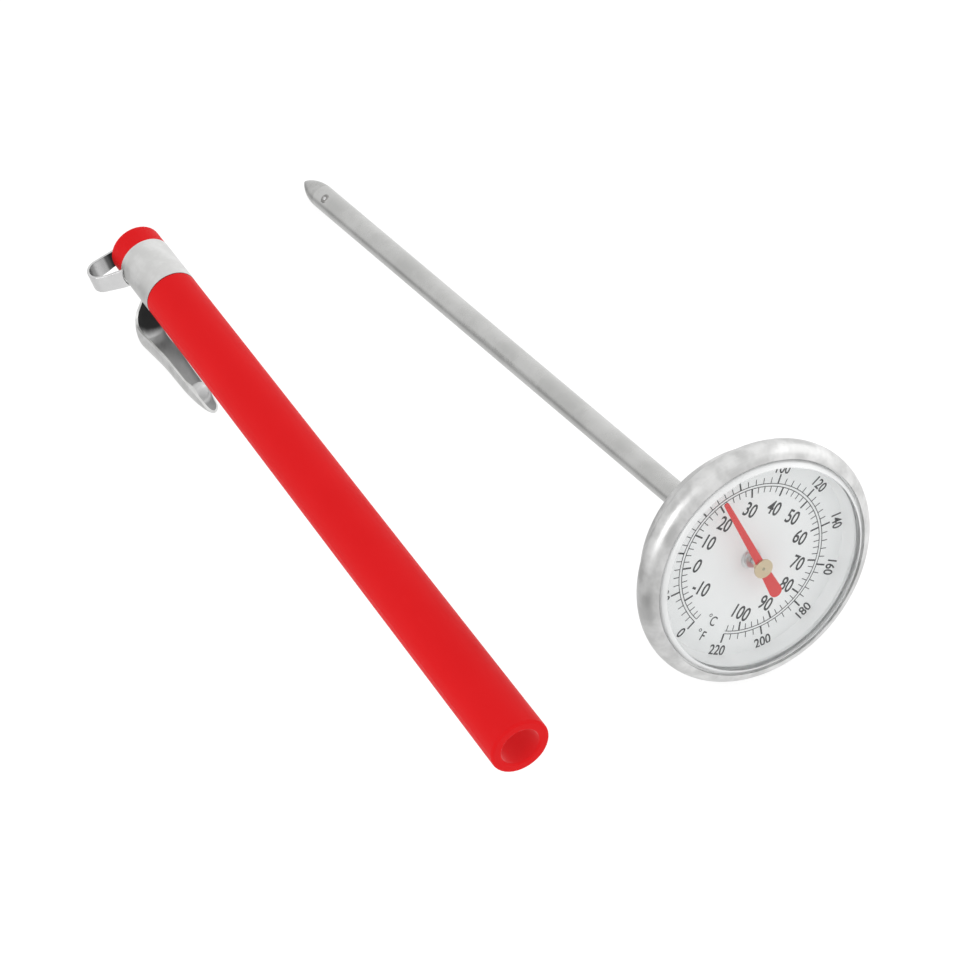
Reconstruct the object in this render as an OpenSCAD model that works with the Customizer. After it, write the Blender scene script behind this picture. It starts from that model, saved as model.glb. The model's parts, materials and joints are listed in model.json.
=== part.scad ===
// Bimetal pocket thermometer and its clip-on sheath, lying side by side on a table.
// The thermometer has a back-connected dial head, a hollow stem and a helix inside it.
// Row frame: +Z up, z = 0 is the table, +Y runs from the dial head towards the stem's tip,
// and the origin is under the centre of the pair's bounding box.

/* [Dial head] */
// Largest radius of the bezel
bezel_r = 20; // [18:0.5:24]
// Radius of the bezel's half-round bead
bead_r = 2.5; // [2:0.1:2.6]
// Sheet thickness of the bezel and the case
sheet = 0.5; // [0.4:0.05:0.6]
// Depth of the case behind the dial's front face
case_depth = 6.5; // [6:0.5:9]
// Thickness of the dial plate
dial_t = 0.4; // [0.3:0.1:0.5]
// Height of the window's dome above the dial
lens_top = 5.2; // [5.1:0.1:5.8]
// Thickness of the window
lens_t = 0.8; // [0.7:0.1:0.9]

/* [Pointer] */
// Length of the pointer from its hub to its tip
pointer_len = 14.7; // [12:0.1:15]
// Length of the counterweight tail
tail_len = 6.3; // [4:0.1:8]
// Reading shown at rest, in degrees Fahrenheit
reading_f = 69; // [0:1:220]
// Height of the pointer's underside above the dial
pointer_z = 3.2; // [2.9:0.1:3.3]

/* [Stem] */
// Distance from the dial's front face to the tip
probe_len = 139; // [100:1:200]
// Outer radius of the stem
stem_r = 2; // [1.8:0.05:2.1]
// Inner radius of the stem
stem_bore_r = 1.7; // [1.5:0.05:1.7]
// Length of the pointed tip
tip_len = 6; // [4:0.5:8]
// Size of the hexagon across its flats
hex_af = 9.5; // [9:0.5:11]
// Number of turns in the bimetal helix
helix_turns = 20; // [10:1:24]

/* [Sheath] */
// Length of the sheath
sheath_len = 131.7; // [131:0.1:160]
// Outer radius at the mouth
mouth_r = 4.85; // [4.6:0.05:5.2]
// Outer radius at the closed end
end_r = 4.3; // [4.2:0.02:4.6]
// Radius of the bore that the stem goes into
sheath_bore_r = 2.4; // [2.2:0.1:2.6]
// Depth of the bore from the mouth
sheath_bore_depth = 128; // [100:1:128]
// Radius of the wider socket at the mouth
socket_r = 3.2; // [2.8:0.1:3.6]

/* [Clip] */
// Sheet thickness of the clip
clip_t = 0.45; // [0.35:0.05:0.5]
// Length of the band along the sheath
band_len = 9.6; // [8:0.1:11]
// Distance from the closed end down to the band
band_drop = 4.2; // [3.5:0.1:5]
// Width of the loop's strip
loop_w = 3.8; // [3.2:0.1:4.2]
// Reach of the loop's bend from the sheath's axis
loop_reach = 6.9; // [6.5:0.1:8]
// Position of the loop around the sheath, in degrees above horizontal
loop_angle = -19; // [-25:1:0]
// Length of the pocket blade
blade_len = 25.2; // [24:0.1:30]
// Position of the blade around the sheath, in degrees above horizontal
blade_angle = -61; // [-80:1:-50]

/* [Layout] */
// Sideways position of the thermometer's axis
probe_x = 13.65; // [10:0.05:30]
// Position along the table of the dial's centre
probe_y = -65.7; // [-80:0.1:-50]
// Turn of the dial's upright direction about the stem
dial_roll = -38.7; // [-180:0.1:180]
// Sideways position of the sheath's mouth
sheath_x = -28.85; // [-45:0.05:-20]
// Position along the table of the sheath's mouth
sheath_y = -70.6; // [-90:0.1:-50]
// Turn of the sheath out of line with the thermometer
sheath_yaw = -2.15; // [-6:0.05:6]

/* [Hidden] */
$fn = 96;
eps = 0.01;

steel = [0.72, 0.72, 0.71];
bright_steel = [0.82, 0.82, 0.82];
brass = [0.78, 0.63, 0.33];
dial_white = [0.92, 0.92, 0.91];
signal_red = [0.86, 0.13, 0.14];

// Dial head: z is measured along the stem's axis, 0 at the dial's front face, + to the front
bead_centre_r = bezel_r - bead_r;
bead_centre_z = 0.9;
wall_r = bezel_r - 3.1;
seat_r = wall_r - sheet;
rim_r = wall_r + 0.6;
flange_r = bezel_r - 0.8;
flange_z = 0.3;
lip_r = bezel_r - 2;
corner_r = 3.5;
lens_rim_r = bezel_r - 1.8;
lens_rim_z = 1.9;
lens_rim_t = 0.8;
lens_edge_r = lip_r - 0.1;
lens_ball_r = 140;
lens_corner = 2.4;
dial_hole_r = 1.5;

// Scale: 0 F at -165 degrees clockwise from upright, and 1.5 degrees of arc per degree F
scale_start = -165;
scale_step = 1.5;
reading_angle = scale_start + scale_step * reading_f;
pointer_t = 0.2;
boss_r = 0.9;
hub_r = 1.55;
hub_cap_t = 0.25;
spindle_r = 0.5;
running_gap = 0.05;

// Stem
hub_sleeve_r = 3;
hub_flange_r = 5.2;
hub_flange_t = 1.05;
back_z = -case_depth;
washer_t = 0.6;
nut_front = back_z - washer_t - running_gap;
nut_len = 3.85;
nut_back = nut_front - nut_len;
stem_top = -1.2;
neck_r = stem_r - 0.05;
neck_z = nut_back - 0.1;
neck_taper = 0.9;
shoulder_z = -(probe_len - tip_len);
tip_point_r = 0.3;
spigot_len = 3;
anchor_len = 1.8;
anchor_z = shoulder_z + spigot_len;
helix_r = 1.2;
helix_strip_t = 0.15;
helix_strip_w = 1.4;
helix_pitch = 2.35;
helix_steps = 12;
helix_z = anchor_z + anchor_len - 0.2;
helix_top = helix_z + helix_turns * helix_pitch + helix_strip_w;
drive_z = helix_top + 0.1;
drive_t = 1.5;
bush_len = 2.5;

// The head's bead and the tip's ogive both rest on the table, which sets the stem's droop
tip_side = stem_r - tip_point_r;
ogive_r = (tip_len * tip_len + tip_side * tip_side) / (2 * tip_side);
rest_arm = [bead_centre_r - stem_r + ogive_r, bead_centre_z - shoulder_z];
droop = acos((ogive_r - bead_r) / norm(rest_arm)) - atan2(rest_arm[1], rest_arm[0]);
probe_h = bead_centre_r * cos(droop) + bead_r - bead_centre_z * sin(droop);

// Sheath: z runs from the mouth to the closed end, +X is to the left of the pair, +Y is up
groove = clip_t - 0.05;
band_top = sheath_len - band_drop;
band_bottom = band_top - band_len;
end_fillet = 0.8;
socket_depth = 5;
lead_len = 3;

// Pocket blade: one row for each station, as distance from its root, outer radius of its back,
// radius of its gutter and half the angle that the gutter spans
blade_root_z = band_bottom + 3.2;
blade_rows = [
    [0, 4.36, 4.36, 34],
    [0.5, 6.7, 3.8, 43],
    [1.5, 8.5, 3.1, 62],
    [2.5, 9.4, 2.85, 76],
    [4, 9.8, 2.8, 84],
    [7, 9.5, 2.65, 86],
    [12, 9, 2.4, 86],
    [18, 8.8, 2.2, 86],
    [20.5, 8.6, 2.05, 84],
    [23.5, 8.1, 1.75, 72],
    [24.7, 7.8, 1.45, 52],
    [25.2, 7.6, 1.2, 26]
];
bead_at = 20.3;
bead_h = 2.7;
blade_low = (blade_rows[4][1] - blade_rows[4][2]) * sin(-blade_angle) + blade_rows[4][2];
sheath_tilt = asin((blade_low - mouth_r) / (blade_root_z - 3.6));
sheath_h = mouth_r * cos(sheath_tilt);

function sheath_r(z) = mouth_r + (end_r - mouth_r) * z / sheath_len;

function arc(r, from, to, steps = 12) =
    [for (i = [0:steps]) let (a = from + (to - from) * i / steps) [r * cos(a), r * sin(a)]];

function shift(points, by) = [for (p = points) p + by];

// Places a piece drawn in the thermometer's own frame, dial upright along +Y, front along +Z
module on_probe() {
    translate([probe_x, probe_y, probe_h])
        rotate([90 - droop, 0, 0])
            rotate([0, 0, dial_roll])
                children();
}

// Places a piece drawn in the sheath's own frame
module on_sheath() {
    translate([sheath_x, sheath_y, sheath_h])
        rotate([90 - sheath_tilt, 0, 180 + sheath_yaw])
            children();
}

// A turned ring with a rectangular section
module ring(r_in, r_out, z_low, z_high) {
    rotate_extrude()
        translate([r_in, z_low])
            square([r_out - r_in, z_high - z_low]);
}

// Rectangle in the half-plane of a turned profile, between two radii and two heights
module block(r_low, r_high, z_low, z_high) {
    translate([r_low, z_low])
        square([r_high - r_low, z_high - z_low]);
}

// Bent sheet: rows of points on its middle surface, given a thickness along their normals,
// with lumps that raise the inner side towards -X
module sheet_shell(rows, thickness, lumps = undef) {
    n = len(rows);
    m = len(rows[0]);
    function normal(i, j) = let (
        along = rows[min(i + 1, n - 1)][j] - rows[max(i - 1, 0)][j],
        across = rows[i][min(j + 1, m - 1)] - rows[i][max(j - 1, 0)],
        c = cross(along, across)
    ) c / norm(c);
    outer = [for (i = [0:n - 1], j = [0:m - 1]) rows[i][j] + normal(i, j) * thickness / 2];
    inner = [for (i = [0:n - 1], j = [0:m - 1]) rows[i][j] - normal(i, j) * thickness / 2
        - [is_undef(lumps) ? 0 : lumps[i][j], 0, 0]];
    function at(i, j) = i * m + j;
    function quad(a, b, c, d) = [[a, c, b], [a, d, c]];
    under = n * m;
    faces = concat(
        [for (i = [0:n - 2], j = [0:m - 2])
            each quad(at(i, j), at(i + 1, j), at(i + 1, j + 1), at(i, j + 1))],
        [for (i = [0:n - 2], j = [0:m - 2])
            each quad(under + at(i, j), under + at(i, j + 1), under + at(i + 1, j + 1), under + at(i + 1, j))],
        [for (i = [0:n - 2]) each quad(at(i, 0), under + at(i, 0), under + at(i + 1, 0), at(i + 1, 0))],
        [for (i = [0:n - 2])
            each quad(at(i, m - 1), at(i + 1, m - 1), under + at(i + 1, m - 1), under + at(i, m - 1))],
        [for (j = [0:m - 2]) each quad(at(0, j), at(0, j + 1), under + at(0, j + 1), under + at(0, j))],
        [for (j = [0:m - 2])
            each quad(at(n - 1, j), under + at(n - 1, j), under + at(n - 1, j + 1), at(n - 1, j + 1))]
    );
    polyhedron(concat(outer, inner), faces, convexity = 10);
}

module case_cup() {
    on_probe() color(steel) rotate_extrude() {
        block(hub_sleeve_r + running_gap, wall_r - corner_r, back_z, back_z + sheet);
        intersection() {
            translate([wall_r - corner_r, back_z + corner_r])
                difference() {
                    circle(r = corner_r);
                    circle(r = corner_r - sheet);
                }
            block(wall_r - corner_r, wall_r, back_z, back_z + corner_r);
        }
        block(seat_r, wall_r, back_z + corner_r, -dial_t - sheet);
        block(seat_r, rim_r, -dial_t - sheet, -dial_t);
        block(rim_r - sheet, rim_r, -dial_t, flange_z);
        block(rim_r - sheet, flange_r, flange_z, flange_z + sheet);
    }
}

// Rolled sheet bead that wraps the case's flange, the gasket and the window's rim
module bezel_ring() {
    on_probe() color(steel) rotate_extrude() difference() {
        translate([bead_centre_r, bead_centre_z])
            difference() {
                circle(r = bead_r);
                circle(r = bead_r - sheet);
            }
        block(0, wall_r + 0.02, -bead_r, bead_centre_z);
        block(0, lip_r, bead_centre_z, 2 * bead_r);
    }
}

// Section of a low dome with a wide rounded shoulder, down to a given height
module dome(ball_r, corner_r, low) {
    ball_z = lens_top - lens_ball_r;
    run = lens_edge_r - lens_corner;
    corner_z = ball_z + sqrt(pow(lens_ball_r - lens_corner, 2) - run * run);
    intersection() {
        translate([0, ball_z]) circle(r = ball_r, $fn = 360);
        block(0, ball_r * run / (ball_r - corner_r), low, lens_top + eps);
    }
    intersection() {
        translate([run, corner_z]) circle(r = corner_r);
        block(run, lens_edge_r, corner_z, lens_top);
    }
    block(run - eps, run + corner_r, low, corner_z);
}

// Moulded window with a thin rim that the bezel holds
module lens() {
    on_probe() color([0.9, 0.95, 0.95, 0.35]) rotate_extrude() {
        difference() {
            dome(lens_ball_r, lens_corner, lens_rim_z);
            dome(lens_ball_r - lens_t, lens_corner - lens_t, lens_rim_z - 1);
        }
        block(lens_edge_r - lens_t, lens_rim_r, lens_rim_z, lens_rim_z + lens_rim_t);
    }
}

module lens_gasket() {
    on_probe() color([0.85, 0.85, 0.85])
        ring(rim_r + 0.2, lens_rim_r + 0.3, flange_z + sheet, lens_rim_z);
}

// Light flared ring that holds the dial down under the window
module spacer_ring() {
    on_probe() color(dial_white) rotate_extrude() polygon([
        [seat_r - 0.2, 0],
        [wall_r + 0.05, 0],
        [wall_r + 0.05, flange_z + sheet],
        [rim_r + 0.05, lens_rim_z],
        [wall_r + 0.2, lens_rim_z]
    ]);
}

module dial_plate() {
    on_probe() color(dial_white)
        ring(dial_hole_r, wall_r + 0.05, -dial_t, 0);
}

// Flat pointer, turned to the reading that it shows at rest
module pointer() {
    root_w = 0.65;
    tip_w = 0.4;
    tail_w = 1.05;
    neck_w = 0.8;
    eye_r = hub_r - 0.15;
    eye_y = sqrt(eye_r * eye_r - root_w * root_w);
    neck_y = sqrt(eye_r * eye_r - neck_w * neck_w);
    root_a = acos(root_w / eye_r);
    neck_a = acos(neck_w / eye_r);
    on_probe() color(signal_red)
        rotate([0, 0, -reading_angle])
            translate([0, 0, pointer_z])
                linear_extrude(pointer_t) difference() {
                    polygon(concat(
                        shift(arc(tip_w, 0, 180), [0, pointer_len - tip_w]),
                        arc(eye_r, 180 - root_a, 180 + neck_a, 10),
                        shift(arc(tail_w, 180, 360), [0, tail_w - tail_len]),
                        arc(eye_r, -neck_a, root_a, 10)
                    ));
                    circle(r = boss_r);
                }
}

module pointer_hub() {
    hub_z = pointer_z + pointer_t;
    on_probe() color(brass) {
        ring(spindle_r, boss_r, pointer_z - 1, hub_z);
        translate([0, 0, hub_z]) cylinder(r = hub_r, h = hub_cap_t);
    }
}

// Shaft from the helix's free end up to the pointer's hub
module spindle() {
    on_probe() color(bright_steel) {
        translate([0, 0, drive_z])
            cylinder(r = spindle_r, h = pointer_z + pointer_t - drive_z);
        translate([0, 0, drive_z]) cylinder(r = helix_r, h = drive_t);
    }
}

module upper_guide_bush() {
    on_probe() color(bright_steel) rotate_extrude() {
        block(spindle_r + running_gap, stem_bore_r, stem_top - bush_len, stem_top);
        block(spindle_r + running_gap, dial_hole_r - 0.25, stem_top - bush_len, 0.7);
    }
}

module lower_guide_bush() {
    low = drive_z + drive_t + 4;
    on_probe() color(brass)
        ring(spindle_r + running_gap, stem_bore_r, low, low + bush_len);
}

// Bimetal strip wound on edge, swept turn by turn along its helix
module bimetal_helix() {
    count = helix_turns * helix_steps;
    inner = helix_r - helix_strip_t;
    points = [for (i = [0:count]) let (
        a = 360 * i / helix_steps,
        z = helix_z + helix_pitch * i / helix_steps
    ) each [
        [inner * cos(a), inner * sin(a), z],
        [helix_r * cos(a), helix_r * sin(a), z],
        [helix_r * cos(a), helix_r * sin(a), z + helix_strip_w],
        [inner * cos(a), inner * sin(a), z + helix_strip_w]
    ]];
    sides = [for (i = [0:count - 1], k = [0:3]) let (
        a = 4 * i + k,
        b = 4 * i + (k + 1) % 4
    ) each [[a, b, b + 4], [a, b + 4, a + 4]]];
    first = [[0, 3, 2], [0, 2, 1]];
    last = [[4 * count, 4 * count + 1, 4 * count + 2], [4 * count, 4 * count + 2, 4 * count + 3]];
    on_probe() color([0.7, 0.62, 0.5])
        polyhedron(points, concat(sides, first, last), convexity = 10);
}

module helix_anchor() {
    on_probe() color(brass)
        translate([0, 0, anchor_z]) cylinder(r = stem_bore_r, h = anchor_len);
}

// Drawn tube, with a slightly narrower neck where it enters the hub
module stem_tube() {
    on_probe() color(steel) rotate_extrude() polygon([
        [stem_bore_r, shoulder_z],
        [stem_r, shoulder_z],
        [stem_r, neck_z - neck_taper],
        [neck_r, neck_z],
        [neck_r, stem_top],
        [stem_bore_r, stem_top]
    ]);
}

// Ogive tip with a spigot welded into the tube
module stem_tip() {
    sweep = asin(tip_len / ogive_r);
    profile = shift(arc(ogive_r, 0, -sweep), [stem_r - ogive_r, shoulder_z]);
    on_probe() color(steel) {
        rotate_extrude()
            polygon(concat([[0, shoulder_z]], profile, [[0, -probe_len]]));
        translate([0, 0, shoulder_z]) cylinder(r = stem_bore_r, h = spigot_len);
    }
}

// Turned collar welded to the stem: its flange turns inside the case, its sleeve holds the nut
module stem_hub() {
    flange_low = back_z + sheet + running_gap;
    on_probe() color(steel) {
        ring(neck_r, hub_flange_r, flange_low, flange_low + hub_flange_t);
        ring(neck_r, hub_sleeve_r, nut_back, flange_low);
    }
}

// Dished spring washer that grips the case against the nut
module friction_washer() {
    thickness = 0.2;
    on_probe() color(bright_steel) rotate_extrude() polygon([
        [hub_sleeve_r + 0.1, nut_front],
        [hub_flange_r, nut_front + washer_t - thickness],
        [hub_flange_r, nut_front + washer_t],
        [hub_sleeve_r + 0.1, nut_front + thickness]
    ]);
}

// Hexagon that a spanner holds while the head is turned to calibrate it
module calibration_nut() {
    corner = hex_af / 2 / cos(30);
    chamfer = corner - hex_af / 2;
    on_probe() color(steel) difference() {
        intersection() {
            translate([0, 0, nut_back]) cylinder(r = corner, h = nut_len, $fn = 6);
            rotate_extrude() polygon([
                [0, nut_back],
                [hex_af / 2, nut_back],
                [corner, nut_back + chamfer],
                [corner, nut_front],
                [0, nut_front]
            ]);
        }
        translate([0, 0, nut_back - 1]) cylinder(r = hub_sleeve_r, h = nut_len + 2);
    }
}

// Moulded sheath with a slight taper, a groove for the band and a stepped blind bore
module sheath_tube() {
    end_neck_r = sheath_r(sheath_len - end_fillet);
    socket_end = socket_depth + lead_len;
    rim = 0.5;
    lip = 0.3;
    on_sheath() color(signal_red) rotate_extrude() difference() {
        polygon(concat(
            [[0, 0]],
            shift(arc(rim, -90, 0, 8), [mouth_r - rim, rim]),
            [
                [sheath_r(band_bottom), band_bottom],
                [sheath_r(band_bottom) - groove, band_bottom],
                [sheath_r(band_top) - groove, band_top],
                [sheath_r(band_top), band_top]
            ],
            shift(arc(end_fillet, 0, 90, 8), [end_neck_r - end_fillet, sheath_len - end_fillet]),
            [[0, sheath_len]]
        ));
        polygon(concat(
            [[0, -1], [socket_r + lip, -1]],
            shift(arc(lip, 270, 180, 6), [socket_r + lip, lip]),
            [
                [socket_r, socket_depth],
                [sheath_bore_r, socket_end],
                [sheath_bore_r, sheath_bore_depth],
                [0, sheath_bore_depth]
            ]
        ));
    }
}

// Sheet band in the sheath's groove, with a slot that the blade's root comes out of
module clip_band() {
    slot_w = 2 * blade_rows[0][2] * sin(blade_rows[0][3]) + 0.5;
    slot_top = blade_root_z + 0.2;
    on_sheath() color(bright_steel) difference() {
        rotate_extrude() polygon([
            [sheath_r(band_bottom) - groove, band_bottom],
            [sheath_r(band_bottom) - groove + clip_t, band_bottom],
            [sheath_r(band_top) - groove + clip_t, band_top],
            [sheath_r(band_top) - groove, band_top]
        ]);
        rotate([0, 0, blade_angle])
            translate([0, -slot_w / 2, band_bottom - 1])
                cube([2 * mouth_r, slot_w, slot_top - band_bottom + 1]);
    }
}

// Strip that leaves the band, turns back over the closed end and makes an eye for the stem
module clip_loop() {
    bend_r = 1.9;
    outer_r = sheath_r(band_top) - groove + clip_t;
    root = [outer_r + 0.12, band_top - 0.8];
    bend = [loop_reach, sheath_len + clip_t / 2 + 0.15 - bend_r];
    reach = norm(bend - root);
    slope = atan2(bend[1] - root[1], bend[0] - root[0]) - asin(bend_r / reach);
    path = concat(
        [root, root + 0.5 * [cos(slope), sin(slope)]],
        shift(arc(bend_r, slope - 90, 90, 14), bend),
        [for (x = [4.5, 2.6, 1.2, 0]) [x, bend[1] + bend_r]]
    );
    last = len(path) - 1;
    // Half-widths above and below the strip's centre line
    high = [for (i = [0:last]) loop_w / 2 * (i < 2 ? 1 : i < last - 1 ? 0.78 : i < last ? 0.7 : 0.4)];
    low = [for (i = [0:last]) loop_w / 2 * (i > 1 && i < last - 2 ? 1.06 : i < 2 ? 1 : i < last - 1 ? 0.9 : i < last ? 0.7 : 0.4)];
    rows = [for (i = [0:last]) [for (j = [-3:3]) let (
        w = (j > 0 ? high[i] : low[i]) * j / 3,
        // The root follows the band's curve
        sag = i == 0 ? outer_r - sqrt(outer_r * outer_r - w * w) : 0
    ) [path[i][0] - sag, w, path[i][1]]]];
    on_sheath() color(bright_steel)
        rotate([0, 0, loop_angle]) sheet_shell(rows, clip_t);
}

// Gutter-shaped pocket blade that steps out of the band, with a bead inside its rounded tip
module clip_blade() {
    scale_s = blade_len / blade_rows[len(blade_rows) - 1][0];
    function column(k) = [for (row = blade_rows) [row[0], row[k]]];
    stations = concat(
        [for (s = [0:0.5:3.5]) s],
        [for (s = [4.5:1.5:16.5]) s],
        [for (s = [17.8:0.55:23.3]) s],
        [23.8, 24.3, 24.8, 25.2]
    );
    rows = [for (s = stations) [for (j = [-5:5]) let (
        r = lookup(s, column(2)) - clip_t / 2,
        a = lookup(s, column(3)) * j / 5,
        w = r * sin(a)
    ) [lookup(s, column(1)) - clip_t / 2 - r + r * cos(a), w, blade_root_z - s * scale_s]]];
    lumps = [for (i = [0:len(rows) - 1]) [for (p = rows[i])
        bead_h * exp(-pow((stations[i] - bead_at) / 1.45, 4) - pow(p[1] / 1.4, 4))]];
    on_sheath() color(bright_steel)
        rotate([0, 0, blade_angle]) sheet_shell(rows, clip_t, lumps);
}

case_cup();
bezel_ring();
lens();
lens_gasket();
spacer_ring();
dial_plate();
pointer();
pointer_hub();
spindle();
upper_guide_bush();
lower_guide_bush();
bimetal_helix();
helix_anchor();
stem_tube();
stem_tip();
stem_hub();
friction_washer();
calibration_nut();
sheath_tube();
clip_band();
clip_loop();
clip_blade();
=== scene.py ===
import json
import math

import bmesh
import bpy
from mathutils import Matrix, Vector

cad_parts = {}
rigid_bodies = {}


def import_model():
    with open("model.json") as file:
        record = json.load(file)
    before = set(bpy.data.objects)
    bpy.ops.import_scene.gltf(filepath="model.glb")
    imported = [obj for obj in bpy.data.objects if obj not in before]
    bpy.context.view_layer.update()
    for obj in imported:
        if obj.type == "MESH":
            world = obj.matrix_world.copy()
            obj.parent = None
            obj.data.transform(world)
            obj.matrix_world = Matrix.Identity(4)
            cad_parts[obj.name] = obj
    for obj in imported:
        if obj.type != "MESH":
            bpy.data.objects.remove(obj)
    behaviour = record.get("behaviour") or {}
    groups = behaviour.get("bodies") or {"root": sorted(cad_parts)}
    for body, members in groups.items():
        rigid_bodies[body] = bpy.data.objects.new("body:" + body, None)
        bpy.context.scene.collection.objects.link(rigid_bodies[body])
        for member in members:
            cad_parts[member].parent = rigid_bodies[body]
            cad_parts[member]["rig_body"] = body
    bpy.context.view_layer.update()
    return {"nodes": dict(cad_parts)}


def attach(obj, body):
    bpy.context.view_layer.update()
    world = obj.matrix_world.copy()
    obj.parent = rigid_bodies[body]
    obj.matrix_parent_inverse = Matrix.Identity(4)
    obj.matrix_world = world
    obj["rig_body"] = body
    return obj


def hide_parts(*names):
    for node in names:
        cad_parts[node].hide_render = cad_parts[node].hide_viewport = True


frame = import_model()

MM = 0.001
NODES = frame["nodes"]

# The part's own frames, as in its source: the stem's axis and the sheath's axis
PROBE_AT = Vector((13.65, -65.7, 19.726))
DROOP = 7.6228
DIAL_ROLL = -38.7
SHEATH_AT = Vector((-28.85, -70.6, 4.8471))
SHEATH_TILT = 1.9862
SHEATH_YAW = -2.15

# Millimetres and degrees, as in the part's source; heights run up from the sheath's mouth
STEM_R = 2.0
SHEATH_LEN, BAND_LEN, BAND_DROP = 131.7, 9.6, 4.2
MOUTH_R, END_R = 4.85, 4.3
CLIP_T = 0.45
LOOP_W, LOOP_REACH, LOOP_ANGLE = 3.8, 6.9, -19
BLADE_ANGLE = -61
BAND_TOP = SHEATH_LEN - BAND_DROP
BAND_BOTTOM = BAND_TOP - BAND_LEN
BLADE_ROOT = BAND_BOTTOM + 3.2
GROOVE = CLIP_T - 0.05


def sheath_r(z):
    return MOUTH_R + (END_R - MOUTH_R) * z / SHEATH_LEN


def rot(axis, degrees):
    return Matrix.Rotation(math.radians(degrees), 4, axis)


PROBE = Matrix.Translation(PROBE_AT) @ rot("X", 90 - DROOP) @ rot("Z", DIAL_ROLL)
SHEATH = Matrix.Translation(SHEATH_AT) @ rot("Z", 180 + SHEATH_YAW) @ rot("X", 90 - SHEATH_TILT)


# ---------------------------------------------------------------- camera and stage

VIEW_HEADING = Vector((0.5023, 0.8647, 0)).normalized()
VIEW_SIDE = Vector((VIEW_HEADING.y, -VIEW_HEADING.x, 0))
VIEW_ELEVATION = math.radians(39.2)
VIEW_DISTANCE = 0.95
LOOK_AT = Vector((0.19, -8.64, 0)) * MM
SENSOR_WIDTH, FOCAL_LENGTH = 36, 227.93
FLOOR_HALF, FLOOR_DROP = 1.6, 0.00005


def make_camera():
    back = Vector((
        -math.cos(VIEW_ELEVATION) * VIEW_HEADING.x,
        -math.cos(VIEW_ELEVATION) * VIEW_HEADING.y,
        math.sin(VIEW_ELEVATION),
    ))
    camera = bpy.data.objects.new("camera", bpy.data.cameras.new("camera"))
    bpy.context.scene.collection.objects.link(camera)
    camera.location = LOOK_AT + back * VIEW_DISTANCE
    camera.rotation_euler = (-back).to_track_quat("-Z", "Y").to_euler()
    camera.data.sensor_width = SENSOR_WIDTH
    camera.data.lens = FOCAL_LENGTH
    camera.data.clip_start = 0.02
    bpy.context.scene.camera = camera


def make_floor():
    """A pale floor that glows enough to render without shadows, and that steel doesn't mirror."""
    mesh = bpy.data.meshes.new("floor")
    corners = [(x * FLOOR_HALF, y * FLOOR_HALF, 0) for x, y in ((-1, -1), (1, -1), (1, 1), (-1, 1))]
    mesh.from_pydata(corners, [], [(0, 1, 2, 3)])
    floor = bpy.data.objects.new("floor", mesh)
    bpy.context.scene.collection.objects.link(floor)
    floor.location.z = -FLOOR_DROP
    floor.data.materials.append(floor_white())
    floor.visible_glossy = False


def area_light(name, at, towards, size, watts):
    light = bpy.data.lights.new(name, "AREA")
    light.shape = "RECTANGLE"
    light.size, light.size_y = size
    light.energy = watts
    lamp = bpy.data.objects.new(name, light)
    bpy.context.scene.collection.objects.link(lamp)
    lamp.location = at
    lamp.rotation_euler = (Vector(towards) - Vector(at)).to_track_quat("-Z", "Y").to_euler()


def make_lights():
    """Bright all round, a little brighter from the right, with a dark strip low on the left.

    These are directions in the world, fixed in place: they don't follow the camera.
    """
    world = bpy.data.worlds.new("studio")
    bpy.context.scene.world = world
    world.use_nodes = True
    nt = world.node_tree
    background = nt.nodes["Background"]
    direction = nt.nodes.new("ShaderNodeTexCoord").outputs["Generated"]
    side = dot(nt, direction, VIEW_SIDE)
    front = dot(nt, direction, -VIEW_HEADING)
    height = dot(nt, direction, (0, 0, 1))
    bright = remap(nt, side, -0.9, 0.8, 0.78, 1.02)
    dim = remap(nt, front, 0.35, 0.95, 1.0, 0.80)
    deepening = remap(nt, height, -0.62, -0.42, 0.08, 0.44)
    fading = remap(nt, height, -0.34, -0.08, 1.0, 0.0)
    on_left = remap(nt, side, -0.45, -0.1, 1.0, 0.0)
    strip = multiply(nt, multiply(nt, deepening, fading), on_left)
    lit = multiply(nt, multiply(nt, bright, dim), maths(nt, "SUBTRACT", 1.0, strip))
    nt.links.new(lit, background.inputs["Strength"])
    background.inputs["Color"].default_value = (1.0, 1.0, 1.0, 1)
    aim = Vector((0, 0, 0.01))
    side_key = aim + VIEW_SIDE * 0.75 + VIEW_HEADING * 0.25 + Vector((0, 0, 0.45))
    area_light("key_right", side_key, aim, (0.9, 0.5), 0.9)
    front_left = aim - VIEW_SIDE * 0.55 - VIEW_HEADING * 0.5 + Vector((0, 0, 0.5))
    area_light("front_left", front_left, aim, (0.5, 0.5), 1.5)


# ---------------------------------------------------------------- node helpers

def node(nt, kind, **values):
    made = nt.nodes.new(kind)
    for key, value in values.items():
        setattr(made, key, value)
    return made


def put(nt, socket, value):
    if isinstance(value, bpy.types.NodeSocket):
        nt.links.new(value, socket)
    else:
        socket.default_value = value


def maths(nt, operation, *values):
    made = node(nt, "ShaderNodeMath", operation=operation)
    for socket, value in zip(made.inputs, values):
        put(nt, socket, value)
    return made.outputs[0]


def multiply(nt, a, b):
    return maths(nt, "MULTIPLY", a, b)


def dot(nt, vector, fixed):
    made = node(nt, "ShaderNodeVectorMath", operation="DOT_PRODUCT")
    nt.links.new(vector, made.inputs[0])
    made.inputs[1].default_value = tuple(fixed)
    return made.outputs["Value"]


def distance(nt, a, b):
    """The length of the arrow (a, b)."""
    return maths(nt, "SQRT", maths(nt, "ADD", multiply(nt, a, a), multiply(nt, b, b)))


def axes(nt, vector):
    """A vector's x, y and z."""
    made = node(nt, "ShaderNodeSeparateXYZ")
    nt.links.new(vector, made.inputs[0])
    return made.outputs


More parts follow.
